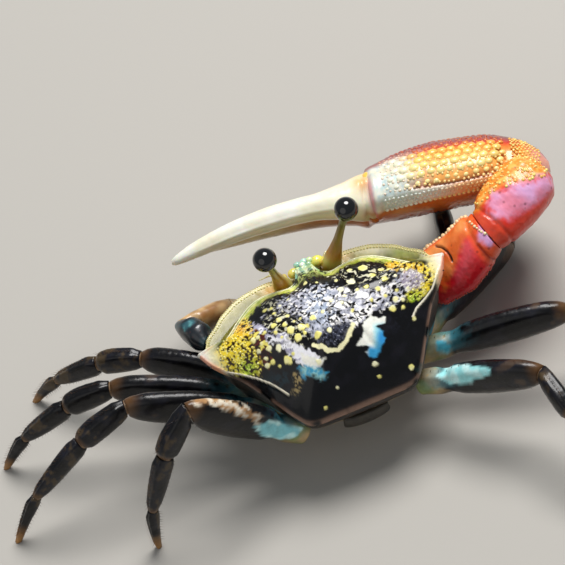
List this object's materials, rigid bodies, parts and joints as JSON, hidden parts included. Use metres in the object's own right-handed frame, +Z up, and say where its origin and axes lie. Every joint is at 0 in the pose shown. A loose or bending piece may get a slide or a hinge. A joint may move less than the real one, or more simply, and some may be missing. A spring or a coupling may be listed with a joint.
{
  "type": "fiddler crab",
  "caption": "Life-size still model of a male fiddler crab standing on its walking legs, large right claw folded across the face, stalked eyes raised.",
  "frame": {"origin": "on the floor, at the centre of the whole animal's footprint box; the feet rest on z = 0", "axes": "+Y the way the crab faces, +X its right side, +Z up"},
  "size_m": [0.0848, 0.0616, 0.0248],
  "materials": {
    "shell": "wet glossy shell, black behind, yellow-green rim, grey-lavender mosaic and cream spots",
    "underside": "satin, tan to grey",
    "eye": "high gloss black",
    "stalk": "wet, slightly translucent olive-amber",
    "claw_red": "glossy red with lavender-pink bloom",
    "claw_orange": "glossy orange with cream-yellow tubercles",
    "finger": "satin cream white",
    "leg": "wet glossy black with turquoise and tan patches"
  },
  "bodies": {
    "root": {"abdomen": "underside", "carapace": "shell", "claw_large_carpus": "claw_red", "claw_large_finger": "finger", "claw_large_merus": "claw_red", "claw_large_palm": "claw_orange", "claw_small_carpus": "claw_orange", "claw_small_finger": "claw_orange", "claw_small_merus": "claw_orange", "claw_small_palm": "claw_orange", "eye_left": "eye", "eye_right": "eye", "eyestalk_left": "stalk", "eyestalk_right": "stalk", "leg_left_1_carpus": "leg", "leg_left_1_dactyl": "leg", "leg_left_1_merus": "leg", "leg_left_1_propodus": "leg", "leg_left_2_carpus": "leg", "leg_left_2_dactyl": "leg", "leg_left_2_merus": "leg", "leg_left_2_propodus": "leg", "leg_left_3_carpus": "leg", "leg_left_3_dactyl": "leg", "leg_left_3_merus": "leg", "leg_left_3_propodus": "leg", "leg_left_4_carpus": "leg", "leg_left_4_dactyl": "leg", "leg_left_4_merus": "leg", "leg_left_4_propodus": "leg", "leg_right_1_carpus": "leg", "leg_right_1_dactyl": "leg", "leg_right_1_merus": "leg", "leg_right_1_propodus": "leg", "leg_right_2_carpus": "leg", "leg_right_2_dactyl": "leg", "leg_right_2_merus": "leg", "leg_right_2_propodus": "leg", "leg_right_3_carpus": "leg", "leg_right_3_dactyl": "leg", "leg_right_3_merus": "leg", "leg_right_3_propodus": "leg", "leg_right_4_carpus": "leg", "leg_right_4_dactyl": "leg", "leg_right_4_merus": "leg", "leg_right_4_propodus": "leg", "mouthpart_left": "underside", "mouthpart_right": "underside", "underbody": "underside"}
  },
  "joints": []
}
